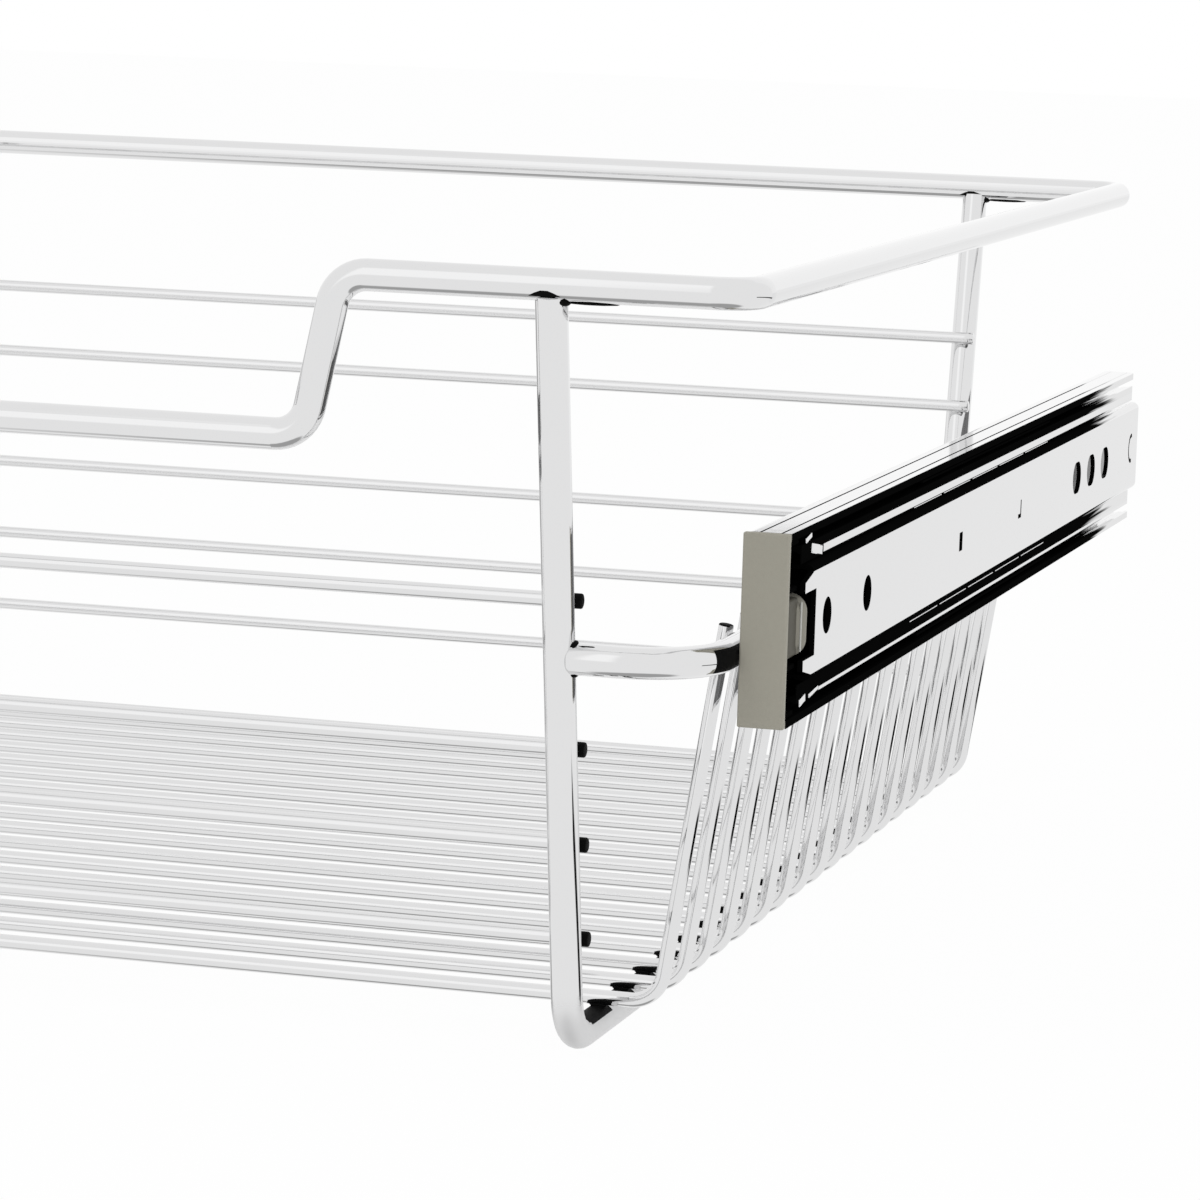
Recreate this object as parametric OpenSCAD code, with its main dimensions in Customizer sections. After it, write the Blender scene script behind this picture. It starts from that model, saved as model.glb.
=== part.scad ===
// Pull out cabinet basket: a welded wire basket that rides on two ball-bearing slides.
// Frame: X across the cabinet, -Y to the front (the way the basket pulls out), Z up.
// Origin: middle of the bounding box's bottom.

/* [Whole basket] */
// Width over the outer faces of the two slides
overall_width = 609.6; // [450:0.1:900]
// Depth of the rim from front bar to rear bar, between rod centres
rim_depth = 460.3; // [440:0.1:560]
// Height of the rim rod's centre above the lowest point
rim_height = 183.7; // [160:0.1:260]
// Height of the slides' centre line above the lowest point
slide_height = 103.65; // [90:0.05:120]
// Distance from a slide's outer face in to the rim's side bar
rim_inset = 3.9; // [3.8:0.1:12]
// Distance that the rim's front bar stands ahead of the slides' front end
rim_overhang = 35.3; // [20:0.1:50]

/* [Rods and wires] */
// Diameter of the thick rods
rod_d = 7.5; // [6:0.1:9]
// Diameter of the thin wires
wire_d = 3.6; // [2.5:0.1:4.5]
// Gap left at each weld, filled by the weld on the real basket
weld_gap = 0.03; // [0.01:0.01:0.1]

/* [Rim] */
// Bend radius of the rim's four corners
rim_bend_r = 8.5; // [8:0.5:20]
// Width of the dip in the rim's front bar, along its lower bar
dip_width = 394.4; // [200:0.1:420]
// Depth of the dip
dip_depth = 37.3; // [24:0.1:60]
// Lean of the dip's legs from upright
dip_lean = 11.4; // [0:0.1:25]
// Bend radius of the dip
dip_bend_r = 8.5; // [7:0.5:12]

/* [Frame rods] */
// Distance from a slide's outer face in to the frame rod
frame_inset = 49.9; // [46:0.1:80]
// Lean of the posts from upright, wider at the top
post_lean = 10.06; // [0:0.01:12]
// Bend radius at the foot of each post
frame_bend_r = 14; // [9:0.5:18]

/* [Side rods] */
// Height of the side rods above the lowest point
side_rod_height = 97.2; // [86:0.1:110]
// Bend radius of the side rods' corners
side_bend_r = 20; // [10:0.5:22]

/* [Thin wires] */
// Heights of the back wires
back_wire_heights = [137.7, 116.9, 81.4, 58.55, 35.7];
// Heights of the front wires
front_wire_heights = [110.1, 74.6, 51.5, 28.4];
// Length that a straight wire runs past the centre of each post
wire_overhang = 4.2; // [4:0.1:12]
// Number of floor wires
floor_wires = 18; // [4:1:24]
// Spacing of the floor wires
floor_pitch = 20; // [10:0.1:20.5]
// Distance from the slides' front end back to the first floor wire
floor_start = 22; // [18:0.1:40]
// Lean of the floor wires' side legs from upright
floor_lean = 8.3; // [2:0.1:10]
// Bend radius of the floor wires
floor_bend_r = 8; // [4:0.5:10]
// Length that a side leg runs past the centre of the side rod
leg_overhang = 4.3; // [4:0.1:10]

/* [Slides] */
// Length of a slide, its front cap included
slide_length = 450; // [430:1:520]
// Height of the basket channel
slide_h = 45.5; // [44:0.1:50]
// Thickness of a slide from the basket channel's back to the cabinet member's face
slide_t = 12.7; // [12.5:0.1:14]
// Depth of the basket channel
channel_depth = 11.1; // [10.8:0.1:12]
// Thickness of the slides' sheet metal
sheet_t = 1.3; // [1.2:0.05:1.4]
// Thickness of the ball cages' sheet metal
cage_t = 0.6; // [0.4:0.05:0.7]
// Diameter of the balls
ball_d = 3.6; // [3.2:0.1:4]
// Depth of the ball tracks in the members' flanges
track_depth = 0.35; // [0.2:0.05:0.4]
// Running gap between a ball and its tracks
ball_gap = 0.15; // [0.1:0.01:0.25]
// Gap between one member's web and the next piece
web_gap = 0.45; // [0.3:0.05:0.5]
// Number of balls in each row of a cage
balls_per_row = 9; // [4:1:9]
// Spacing of the balls
ball_pitch = 19; // [8:0.5:19]
// Distance from the slides' front end to the intermediate member
intermediate_start = 14; // [12:0.5:20]
// Distance from the slides' front end to the inner ball cage
inner_cage_start = 133; // [124:0.5:140]
// Distance from the slides' front end to the outer ball cage
outer_cage_start = 145; // [128:0.5:150]

/* [Cabinet member] */
// Distance from the slides' front end to the tips of the cabinet member's two ears
ear_start = 10.6; // [9:0.1:13]
// Distance from the slides' front end to the full-height part of the cabinet member
flange_start = 19; // [17:0.1:24]
// Distance from the slides' front end to the bottom of the notch between the ears
notch_end = 21.5; // [19:0.1:26]
// Height of the notch between the ears
notch_h = 15.8; // [10:0.1:17]
// Diameter of the round screw holes
screw_hole_d = 8.8; // [4:0.1:9]
// Distances from the slides' front end to the round screw holes
screw_hole_places = [33.3, 75.2];
// Width of the slotted screw holes
slot_w = 9.4; // [5:0.1:10]
// Length of the slotted screw holes
slot_l = 12.5; // [11:0.1:16]
// Spacing of the slotted screw holes
slot_pitch = 22.5; // [18:0.1:24]
// Distance from the slides' rear end to the middle slotted screw hole
slot_from_rear = 78.6; // [78:0.1:100]

/* [Front cap and bumper] */
// Thickness of the front cap's plate
cap_t = 2; // [1.5:0.1:3]
// Length of the cap's tongues inside the basket channel
tongue_l = 9; // [5:0.5:9]
// Distance from the slides' front end to the rear of the bumper
bumper_end = 18; // [14:0.5:18]
// Rounding of the bumper's edges
bumper_r = 3; // [1:0.1:4]

/* [Hidden] */
$fn = 48;

half_w = overall_width / 2;
rod_r = rod_d / 2;
wire_r = wire_d / 2;
// Centre distance of a thin wire welded to a thick rod
weld_pitch = rod_r + wire_r + weld_gap;
// A butted end stops this share of a rod's radius short of the centre line it meets
butt_share = 0.6;
// Distance that a cutting shape runs past what it cuts
cut_past = 1;

// Front and rear ends of the whole part along Y, about its middle
rim_reach = rim_overhang + rod_r;
rear_reach = max(slide_length, rim_depth - rim_overhang + rod_r);
slide_front = (rim_reach - rear_reach) / 2;
rim_front = slide_front - rim_overhang;
rim_rear = rim_front + rim_depth;
basket_mid = (rim_front + rim_rear) / 2;
rim_side = half_w - rim_inset;

// A post's front or rear place at a height, and its lean as a slope
post_slope = tan(post_lean);
foot_z = rod_r;
frame_x = half_w - frame_inset;
function front_y(z) = rim_front + post_slope * (rim_height - z);
function rear_y(z) = 2 * basket_mid - front_y(z);

// Dip of the rim's front bar
dip_low_x = dip_width / 2;
dip_high_x = dip_low_x + dip_depth * tan(dip_lean);

// Side rod: its depth run touches the basket channel's back
slide_back = half_w - slide_t;
side_x = slide_back - rod_r - weld_gap;

// Floor wire: it lies on the frame rods and leans against the side rods
floor_z = foot_z + weld_pitch;
leg_slope = tan(floor_lean);
leg_at_side_rod = side_x - weld_pitch / cos(floor_lean);
leg_foot_x = leg_at_side_rod - leg_slope * (side_rod_height - floor_z);
leg_top_x = leg_at_side_rod + leg_slope * leg_overhang;

// Slide section: heights from the slide's centre line, depths from the channel's back
track_pitch = ball_d + 2 * ball_gap - 2 * track_depth;
channel_in = slide_h / 2 - sheet_t;
outer_ball_h = channel_in - track_pitch / 2;
middle_out = channel_in - track_pitch;
middle_in = middle_out - sheet_t;
inner_ball_h = middle_in - track_pitch / 2;
cabinet_out = middle_in - track_pitch;
track_r = ball_d / 2 + ball_gap;

outer_cage_u = sheet_t + web_gap;
middle_u = outer_cage_u + cage_t + web_gap;
inner_cage_u = middle_u + sheet_t + web_gap;
cabinet_u = inner_cage_u + cage_t + web_gap;
// The intermediate member's flanges end this far inside the channel's open side
flange_inset = 0.5;
flange_end = channel_depth - flange_inset;
// Place of the outer balls between the intermediate member's web and its flange ends
outer_ball_share = 0.48;
outer_ball_u = middle_u + (flange_end - middle_u) * outer_ball_share;
inner_ball_u = (cabinet_u + flange_end) / 2;

// Outer radii of the four sections' back corners, and the least inner radius
channel_r = 1.9;
middle_r = 1.7;
cabinet_r = 2.1;
cage_r = 1;
least_r = 0.2;
// Lips along the basket channel's open side, and how far their roots run into its flanges
lip_w = 1;
lip_h = 0.6;
lip_root = 0.2;
// Cage: clearance round a ball, distance from an end to the first ball, set-back of its edges
cage_hole_d = ball_d + 0.4;
cage_end = 9;
cage_length = (balls_per_row - 1) * ball_pitch + 2 * cage_end;
cage_inset = 0.3;
// Clearance of the bumper above and below in the cabinet member's notch, and behind its face
bumper_side_clear = 0.4;
bumper_face_clear = 0.3;
bumper_h = notch_h - 2 * bumper_side_clear;
// The intermediate member ends this far ahead of the slides' rear end
middle_end_gap = 1;
// Clearance of the intermediate member's notch beside and behind the bumper
notch_side_gap = 0.6;
notch_end_gap = 1.5;
eps = 0.02;
seam_w = 0.1;
seam_depth = 0.05;

SIDES = ["right", "left"];
function two(i) = str(i < 10 ? "0" : "", i);
function floor_name(i) = str("floor_wire_", two(i));
function back_name(i) = str("back_wire_", i);
function front_name(i) = str("front_wire_", i);
SLIDE_PIECES = ["side_rod", "frame_rod", "basket_channel", "intermediate_member", "cabinet_member",
    "outer_cage", "outer_balls", "inner_cage", "inner_balls", "front_cap", "bumper"];

// ---- Bent rods ----

function unit(v) = v / norm(v);
// Any direction square to a unit vector
function across(n) = unit(cross(n, abs(n.z) < 0.9 ? [0, 0, 1] : [1, 0, 0]));
// Moves local X and Z onto two square directions at a point
module at_frame(o, x, z) {
    y = cross(z, x);
    multmatrix([[x.x, y.x, z.x, o.x], [x.y, y.y, z.y, o.y], [x.z, y.z, z.z, o.z], [0, 0, 0, 1]])
        children();
}

// Straight round bar from a to b
module bar(a, b, d) {
    n = unit(b - a);
    at_frame(a, across(n), n) cylinder(h = norm(b - a), d = d);
}

// Direction of v square to the unit vector n
function square_part(v, n) = unit(v - n * (v * n));

// Hairline seam where a straight run meets its bend, left by the bending die
module seam(d) {
    translate([0, 0, -2 * seam_w]) cylinder(h = 4 * seam_w, d = d - 2 * seam_depth);
}

// Bent round bar from run i on: a straight run along Z, then a bend towards +X about local Y
module bent_runs(i, runs, turns, rolls, radii, d) {
    from = i == 0 ? 0 : seam_w;
    to = runs[i] - (i < len(turns) ? seam_w : 0);
    translate([0, 0, from]) cylinder(h = to - from, d = d);
    if (i > 0) seam(d);
    if (i < len(turns)) {
        r = radii[i];
        translate([0, 0, runs[i]]) rotate([0, 0, rolls[i]]) {
            seam(d);
            translate([r, 0, 0]) {
                rotate([90, 0, 180]) rotate_extrude(angle = turns[i])
                    translate([r, 0]) circle(d = d);
                rotate([0, turns[i], 0]) translate([-r, 0, 0])
                    bent_runs(i + 1, runs, turns, rolls, radii, d);
            }
        }
    }
}

// Round bar bent along a path, with one bend radius for each inner corner
module bent_rod(path, radii, d) {
    last = len(path) - 2;
    ways = [for (i = [0:last]) unit(path[i + 1] - path[i])];
    turns = [for (i = [1:last]) acos(ways[i - 1] * ways[i])];
    // Length that each bend takes off both of its runs
    cuts = concat(0, [for (i = [1:last]) radii[i - 1] * tan(turns[i - 1] / 2)], 0);
    runs = [for (i = [0:last]) norm(path[i + 1] - path[i]) - cuts[i] - cuts[i + 1]];
    // Turn about a run from the plane of the bend before it to that of the bend after it
    rolls = [for (i = [0:last - 1]) i == 0 ? 0 : let (
        from = square_part(-ways[i - 1], ways[i]),
        to = square_part(ways[i + 1], ways[i])
    ) atan2(cross(from, to) * ways[i], from * to)];
    at_frame(path[0], square_part(ways[1], ways[0]), ways[0])
        bent_runs(0, runs, turns, rolls, radii, d);
}

// A half that starts at the middle plane, and its mirror image
module both_halves() {
    children();
    mirror([1, 0, 0]) children();
}

// ---- Basket ----

module rim_rod() {
    z = rim_height;
    past_mid = 2;
    // Right half, from the middle of the rear bar round to the middle of the dip
    path = [
        [0, rim_rear, z], [rim_side, rim_rear, z], [rim_side, rim_front, z],
        [dip_high_x, rim_front, z], [dip_low_x, rim_front, z - dip_depth],
        [-past_mid, rim_front, z - dip_depth]
    ];
    radii = [rim_bend_r, rim_bend_r, dip_bend_r, dip_bend_r];
    color("gainsboro") both_halves() difference() {
        bent_rod(path, radii, rod_d);
        translate([-2 * past_mid, rim_front - rod_d, z - dip_depth - rod_d])
            cube([2 * past_mid, 2 * rod_d, 2 * rod_d]);
    }
}

// U of thick rod: front post, bottom run and rear post; the tops butt against the rim
module frame_rod() {
    top_z = rim_height - rod_r * butt_share;
    path = [
        [frame_x, front_y(top_z), top_z], [frame_x, front_y(foot_z), foot_z],
        [frame_x, rear_y(foot_z), foot_z], [frame_x, rear_y(top_z), top_z]
    ];
    color("gainsboro") difference() {
        bent_rod(path, [frame_bend_r, frame_bend_r], rod_d);
        for (y = [rim_front, rim_rear])
            bar([frame_x - rod_d, y, rim_height], [frame_x + rod_d, y, rim_height],
                rod_d + 2 * weld_gap);
    }
}

// Side rod: it butts against the outside of both posts and runs along the slide's back
module side_rod() {
    z = side_rod_height;
    start_x = frame_x + rod_r * butt_share;
    path = [
        [start_x, front_y(z), z], [side_x, front_y(z), z],
        [side_x, rear_y(z), z], [start_x, rear_y(z), z]
    ];
    low = z - rod_d;
    high = z + rod_d;
    color("gainsboro") difference() {
        bent_rod(path, [side_bend_r, side_bend_r], rod_d);
        bar([frame_x, front_y(low), low], [frame_x, front_y(high), high], rod_d + 2 * weld_gap);
        bar([frame_x, rear_y(low), low], [frame_x, rear_y(high), high], rod_d + 2 * weld_gap);
    }
}

// Straight thin wire across both frame rods, on their inner side
module straight_wire(y, z) {
    reach = frame_x + wire_overhang;
    color("gainsboro") bar([-reach, y, z], [reach, y, z], wire_d);
}

module back_wire(i) {
    z = back_wire_heights[i - 1];
    straight_wire(rear_y(z) - weld_pitch / cos(post_lean), z);
}

module front_wire(i) {
    z = front_wire_heights[i - 1];
    straight_wire(front_y(z) + weld_pitch / cos(post_lean), z);
}

// Floor wire: a shallow U that lies on the frame rods and leans against the side rods
module floor_wire(i) {
    y = slide_front + floor_start + (i - 1) * floor_pitch;
    top_z = side_rod_height + leg_overhang;
    // Right half, from the middle of the floor to the top of the leg
    path = [[0, y, floor_z], [leg_foot_x, y, floor_z], [leg_top_x, y, top_z]];
    color("gainsboro") both_halves() bent_rod(path, [floor_bend_r], wire_d);
}

// ---- Slides: the sections lie in the X-Z plane and run along Y ----

// Extrudes a section from one distance behind the slide's front end to another
module along_slide(from, to) {
    translate([slide_back, slide_front + to, slide_height])
        rotate([90, 0, 0]) linear_extrude(height = to - from) children();
}

// Open box section with its two back corners rounded
module open_box(h, d, r) {
    translate([0, r - h / 2]) square([d, h - 2 * r]);
    translate([r, -h / 2]) square([d - r, h]);
    for (s = [-1, 1]) translate([r, s * (h / 2 - r)]) circle(r);
}

// C section of sheet metal, open towards +X, with its web at X = 0
module c_section(h, d, t, r) {
    difference() {
        open_box(h, d, r);
        translate([t, 0]) open_box(h - 2 * t, d, max(least_r, r - t));
    }
}

// Ball tracks: round grooves on both flanges
module tracks(u, h) {
    for (s = [-1, 1]) translate([u, s * h]) circle(track_r);
}

// Wide member, fixed to the side rod, with lips that keep the cage in
module basket_channel() {
    color("silver") along_slide(cap_t + eps, slide_length) {
        difference() {
            c_section(slide_h, channel_depth, sheet_t, channel_r);
            tracks(outer_ball_u, outer_ball_h);
        }
        for (s = [-1, 1])
            translate([channel_depth - lip_w / 2, s * (channel_in + (lip_root - lip_h) / 2)])
                square([lip_w, lip_h + lip_root], center = true);
    }
}

// Middle member of the full-extension slide, with a notch in its web for the bumper
module intermediate_member() {
    notch_r = bumper_h / 2 + notch_side_gap;
    nose = intermediate_start - cut_past;
    color("silver") difference() {
        along_slide(intermediate_start, slide_length - middle_end_gap) difference() {
            translate([middle_u, 0])
                c_section(2 * middle_out, flange_end - middle_u, sheet_t, middle_r);
            tracks(outer_ball_u, outer_ball_h);
            tracks(inner_ball_u, inner_ball_h);
        }
        translate([slide_back, slide_front + nose, slide_height - notch_r])
            cube([slide_t, bumper_end + notch_end_gap - nose, 2 * notch_r]);
    }
}

// Through cut in the cabinet member's face, at a distance behind the slide's front end
module face_cut(place) {
    translate([slide_back + slide_t - sheet_t * 2, slide_front + place, slide_height])
        rotate([90, 0, 90]) linear_extrude(height = sheet_t * 3) children();
}

module slot_2d(l, w) {
    square([l - w, w], center = true);
    for (s = [-1, 1]) translate([s * (l - w) / 2, 0]) circle(d = w);
}

// Formed tab cuts between the screw holes: a window, a hook and an arc
module tab_cuts() {
    cut_w = 1.2;
    window_place = 184.5;
    window_l = 4;
    window_h = 5;
    hook_place = 263.4;
    hook_l = 4.2;
    hook_h = 5;
    arc_from_rear = 10.7;
    arc_d = 8;
    arc_mouth = 1;
    face_cut(window_place) square([window_l, window_h], center = true);
    face_cut(hook_place) {
        translate([(hook_l - cut_w) / 2, 0]) square([cut_w, hook_h], center = true);
        translate([0, (cut_w - hook_h) / 2]) square([hook_l, cut_w], center = true);
    }
    face_cut(slide_length - arc_from_rear) difference() {
        circle(d = arc_d + cut_w);
        circle(d = arc_d - cut_w);
        translate([arc_d / 2 + arc_mouth, 0]) square([arc_d, 2 * arc_d], center = true);
    }
}

// Narrow member, screwed to the cabinet wall through its face
module cabinet_member() {
    out = cabinet_out;
    ear_tip_drop = 3.4;
    ear_root_drop = 1.6;
    ear_h = out - ear_tip_drop;
    nose = ear_start - cut_past;
    slot_place = slide_length - slot_from_rear;
    color("silver") difference() {
        along_slide(ear_start, slide_length) difference() {
            translate([slide_t, 0]) mirror([1, 0])
                c_section(2 * out, slide_t - cabinet_u, sheet_t, cabinet_r);
            tracks(inner_ball_u, inner_ball_h);
        }
        // Notch that takes the bumper
        translate([slide_back, slide_front + nose, slide_height - notch_h / 2])
            cube([slide_t + cut_past, notch_end - nose, notch_h]);
        // Sloping outer edges of the two ears
        for (s = [0, 1]) translate([slide_back, slide_front, slide_height]) mirror([0, 0, s])
            rotate([90, 0, 90]) linear_extrude(height = slide_t + cut_past) polygon([
                [nose, ear_h], [ear_start, ear_h], [flange_start, out - ear_root_drop],
                [flange_start, out + cut_past], [nose, out + cut_past]
            ]);
        for (p = screw_hole_places) face_cut(p) circle(d = screw_hole_d);
        for (k = [-1:1]) face_cut(slot_place + k * slot_pitch) slot_2d(slot_l, slot_w);
        tab_cuts();
    }
}

// C-shaped cage of thin sheet, with a round hole for each ball
module cage(start, u, ball_h, ball_u) {
    color("darkgray") difference() {
        along_slide(start, start + cage_length) translate([u, 0])
            c_section(2 * ball_h + cage_t, flange_end - cage_inset - u, cage_t, cage_r);
        for (k = [0:balls_per_row - 1], s = [-1, 1])
            translate([
                slide_back + ball_u, slide_front + start + cage_end + k * ball_pitch,
                slide_height + s * ball_h
            ]) cylinder(h = ball_d, d = cage_hole_d, center = true);
    }
}

module balls(start, ball_h, ball_u) {
    color("whitesmoke") for (k = [0:balls_per_row - 1], s = [-1, 1])
        translate([
            slide_back + ball_u, slide_front + start + cage_end + k * ball_pitch,
            slide_height + s * ball_h
        ]) sphere(d = ball_d);
}

module outer_cage() cage(outer_cage_start, outer_cage_u, outer_ball_h, outer_ball_u);
module outer_balls() balls(outer_cage_start, outer_ball_h, outer_ball_u);
module inner_cage() cage(inner_cage_start, inner_cage_u, inner_ball_h, inner_ball_u);
module inner_balls() balls(inner_cage_start, inner_ball_h, inner_ball_u);

// Moulded cover on the basket channel's front end, with tongues that plug into it
module front_cap() {
    tongue_t = 1.2;
    tongue_root = 0.5;
    tongue_inset = 0.5;
    // Clearances of the tongues to the channel's web and lips, and of the ribs to the bumper
    web_clear = 0.1;
    lip_clear = 0.15;
    rib_clear = 1;
    tongue_u = sheet_t + web_clear;
    tongue_d = channel_depth - tongue_u - tongue_inset;
    tongue_h = channel_in - lip_h - lip_clear - tongue_t / 2;
    rib_h = bumper_h / 2 + rib_clear + tongue_t / 2;
    color([0.61, 0.6, 0.55]) {
        along_slide(0, cap_t) translate([0, -slide_h / 2]) square([channel_depth, slide_h]);
        along_slide(cap_t - tongue_root, cap_t + tongue_l)
            for (s = [-1, 1], h = [tongue_h, rib_h])
                translate([tongue_u + tongue_d / 2, s * h])
                    square([tongue_d, tongue_t], center = true);
    }
}

// Soft block behind the front cap that stands in the cabinet member's notch
module bumper() {
    web_clear = 0.05;
    u = sheet_t + web_clear;
    d = slide_t - bumper_face_clear - u;
    r = bumper_r;
    start = cap_t + eps;
    length = bumper_end - start;
    color("gray") intersection() {
        along_slide(start, bumper_end) translate([u, -bumper_h / 2]) {
            square([d - r, bumper_h]);
            translate([0, r]) square([d, bumper_h - 2 * r]);
            for (z = [r, bumper_h - r]) translate([d - r, z]) circle(r);
        }
        translate([slide_back + u, slide_front + start, slide_height - bumper_h / 2])
            linear_extrude(height = bumper_h) {
                square([d, length - r]);
                square([d - r, length]);
                translate([d - r, length - r]) circle(r);
            }
    }
}

// ---- Assembly ----

module on_side(side) {
    if (side == "left") mirror([1, 0, 0]) children();
    else children();
}

module slide_piece(name) {
    if (name == "side_rod") side_rod();
    if (name == "frame_rod") frame_rod();
    if (name == "basket_channel") basket_channel();
    if (name == "intermediate_member") intermediate_member();
    if (name == "cabinet_member") cabinet_member();
    if (name == "outer_cage") outer_cage();
    if (name == "outer_balls") outer_balls();
    if (name == "inner_cage") inner_cage();
    if (name == "inner_balls") inner_balls();
    if (name == "front_cap") front_cap();
    if (name == "bumper") bumper();
}

rim_rod();
for (i = [1:len(back_wire_heights)])
    back_wire(i);
for (i = [1:len(front_wire_heights)])
    front_wire(i);
for (i = [1:floor_wires])
    floor_wire(i);
for (p = SLIDE_PIECES, s = SIDES)
    on_side(s) slide_piece(p);
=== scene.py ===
"""Looks of the pull out cabinet basket: a chromed wire basket hung between two ball-bearing slides."""

import logging
import math
from dataclasses import dataclass
from enum import Enum
from functools import cached_property

import bmesh
import bpy
from mathutils import Matrix, Vector


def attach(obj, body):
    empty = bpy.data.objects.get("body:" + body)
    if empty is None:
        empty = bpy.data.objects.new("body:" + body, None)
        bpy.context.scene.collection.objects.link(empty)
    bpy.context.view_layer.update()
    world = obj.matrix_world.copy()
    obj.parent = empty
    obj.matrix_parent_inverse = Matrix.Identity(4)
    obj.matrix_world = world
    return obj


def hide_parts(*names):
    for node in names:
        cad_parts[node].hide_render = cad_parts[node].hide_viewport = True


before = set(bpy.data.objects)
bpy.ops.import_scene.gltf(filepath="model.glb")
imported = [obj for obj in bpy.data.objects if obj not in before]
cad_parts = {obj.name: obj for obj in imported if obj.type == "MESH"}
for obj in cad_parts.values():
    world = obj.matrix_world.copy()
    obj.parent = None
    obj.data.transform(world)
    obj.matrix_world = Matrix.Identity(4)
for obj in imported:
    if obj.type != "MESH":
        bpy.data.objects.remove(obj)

LOG = logging.getLogger("cabinet_basket")
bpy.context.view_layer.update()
# Pieces are shaped in millimetres and brought to metres once they are done
MM = 0.001
# Millimetres within which two heights are the same, and within which a face lies on a sheet's surface
TOUCH, NEAR = 0.01, 0.1
# Span that a noise texture's values stay in for the most part
NOISE_SPAN = (0.3, 0.7)


class Side(Enum):
    """A side of the cabinet, with the sign of X there."""

    RIGHT = 1
    LEFT = -1

    @property
    def label(self) -> str:
        """Name of the side as the CAD nodes write it."""
        return self.name.lower()


class End(Enum):
    """An end of the basket, with the sign of Y there."""

    FRONT = -1
    REAR = 1


# ---- Finishes ----


class Shader:
    """Shorthand for building one node tree."""

    def __init__(self, tree: bpy.types.NodeTree) -> None:
        """Starts from an emptied tree.

        Args:
            tree: the node tree of a material or of the world.
        """
        self.tree = tree
        tree.nodes.clear()

    def put(self, socket: bpy.types.NodeSocket, value: object) -> None:
        """Links or sets one input.

        Args:
            socket: the input socket.
            value: an output socket to link, or a plain value to set.
        """
        if isinstance(value, bpy.types.NodeSocket):
            self.tree.links.new(value, socket)
        else:
            socket.default_value = value

    def node(self, kind: str, inputs: dict[str | int, object] | None = None,
             **settings: object) -> bpy.types.Node:
        """Adds a node.

        Args:
            kind: the node's type, without its ShaderNode prefix.
            inputs: what to link or set its inputs to, by their names or places.
            settings: properties of the node to set.

        Returns:
            The new node.
        """
        made = self.tree.nodes.new("ShaderNode" + kind)
        for name, value in settings.items():
            setattr(made, name, value)
        for key, value in (inputs or {}).items():
            self.put(made.inputs[key], value)
        return made

    def math(self, operation: str, *values: object) -> bpy.types.NodeSocket:
        """Adds a Math node.

        Args:
            operation: the Math node's operation.
            values: its inputs, sockets or numbers.

        Returns:
            Its output socket.
        """
        return self.node("Math", dict(enumerate(values)), operation=operation).outputs[0]

    def noise(self, vector: bpy.types.NodeSocket, scale: float, detail: float) -> bpy.types.NodeSocket:
        """Adds a noise texture.

        Args:
            vector: where it is read.
            scale: features per metre.
            detail: octaves.

        Returns:
            Its value, from 0 to 1.
        """
        return self.node("TexNoise", {"Vector": vector, "Scale": scale, "Detail": detail}).outputs[0]

    def ramp(self, value: bpy.types.NodeSocket, span: tuple[float, float],
             to: tuple[float, float]) -> bpy.types.NodeSocket:
        """Maps one span of a value smoothly to another.

        Args:
            value: the socket to map.
            span: the values that become the two ends of the new span.
            to: the new span.

        Returns:
            The mapped socket.
        """
        return self.node("MapRange", {
            "Value": value, "From Min": span[0], "From Max": span[1], "To Min": to[0], "To Max": to[1],
        }, interpolation_type="SMOOTHSTEP").outputs[0]

    def bump(self, height: bpy.types.NodeSocket, strength: float, depth: float) -> bpy.types.NodeSocket:
        """Adds a Bump node.

        Args:
            height: the height that it reads.
            strength: how much of it shows, from 0 to 1.
            depth: distance between the height's 0 and 1, in metres.

        Returns:
            The bent normal.
        """
        return self.node("Bump", {"Strength": strength, "Distance": depth, "Height": height}).outputs[0]

    def mix(self, share: object, first: bpy.types.NodeSocket,
            second: bpy.types.NodeSocket) -> bpy.types.NodeSocket:
        """Adds a Mix Shader node.

        Args:
            share: how much of the second shader shows, from 0 to 1.
            first: the first shader.
            second: the second shader.

        Returns:
            The mixed shader.
        """
        return self.node("MixShader", {0: share, 1: first, 2: second}).outputs[0]


def start_material(name: str) -> tuple[bpy.types.Material, Shader]:
    """Starts a material.

    Args:
        name: its name.

    Returns:
        The material and its emptied node tree.
    """
    material = bpy.data.materials.new(name)
    material.use_nodes = True
    return material, Shader(material.node_tree)


@dataclass(frozen=True)
class BrightPlate:
    """Bright plated steel: smooth, with faint haze and ripple, and scuffed where it stands on things."""

    name: str
    color: tuple[float, float, float]
    roughness: float
    haze: float
    ripple: float
    ripple_scale: float = 90.0
    ripple_depth: float = 0.0002
    haze_scale: float = 260.0
    haze_span: tuple[float, float] = (0.3, 0.75)
    scuff: float = 0.0
    scuff_height: float = 18.0
    full_scuff_share: float = 0.4

    def make(self) -> bpy.types.Material:
        """Builds the material.

        Returns:
            The finished material.
        """
        material, shader = start_material(self.name)
        place = shader.node("TexCoord").outputs["Object"]
        rough = shader.ramp(shader.noise(place, self.haze_scale, 3), self.haze_span,
                            (self.roughness, self.roughness + self.haze))
        if self.scuff:
            height = shader.node("SeparateXYZ", {0: place}).outputs[2]
            top = self.scuff_height * MM
            scuffed = shader.ramp(height, (self.full_scuff_share * top, top), (self.scuff, 0))
            rough = shader.math("ADD", rough, scuffed)
        normal = shader.bump(shader.noise(place, self.ripple_scale, 1), self.ripple, self.ripple_depth)
        base = shader.node("BsdfPrincipled", {
            "Base Color": (*self.color, 1), "Metallic": 1, "Roughness": rough, "Normal": normal})
        shader.node("OutputMaterial", {"Surface": base.outputs[0]})
        return material


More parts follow.
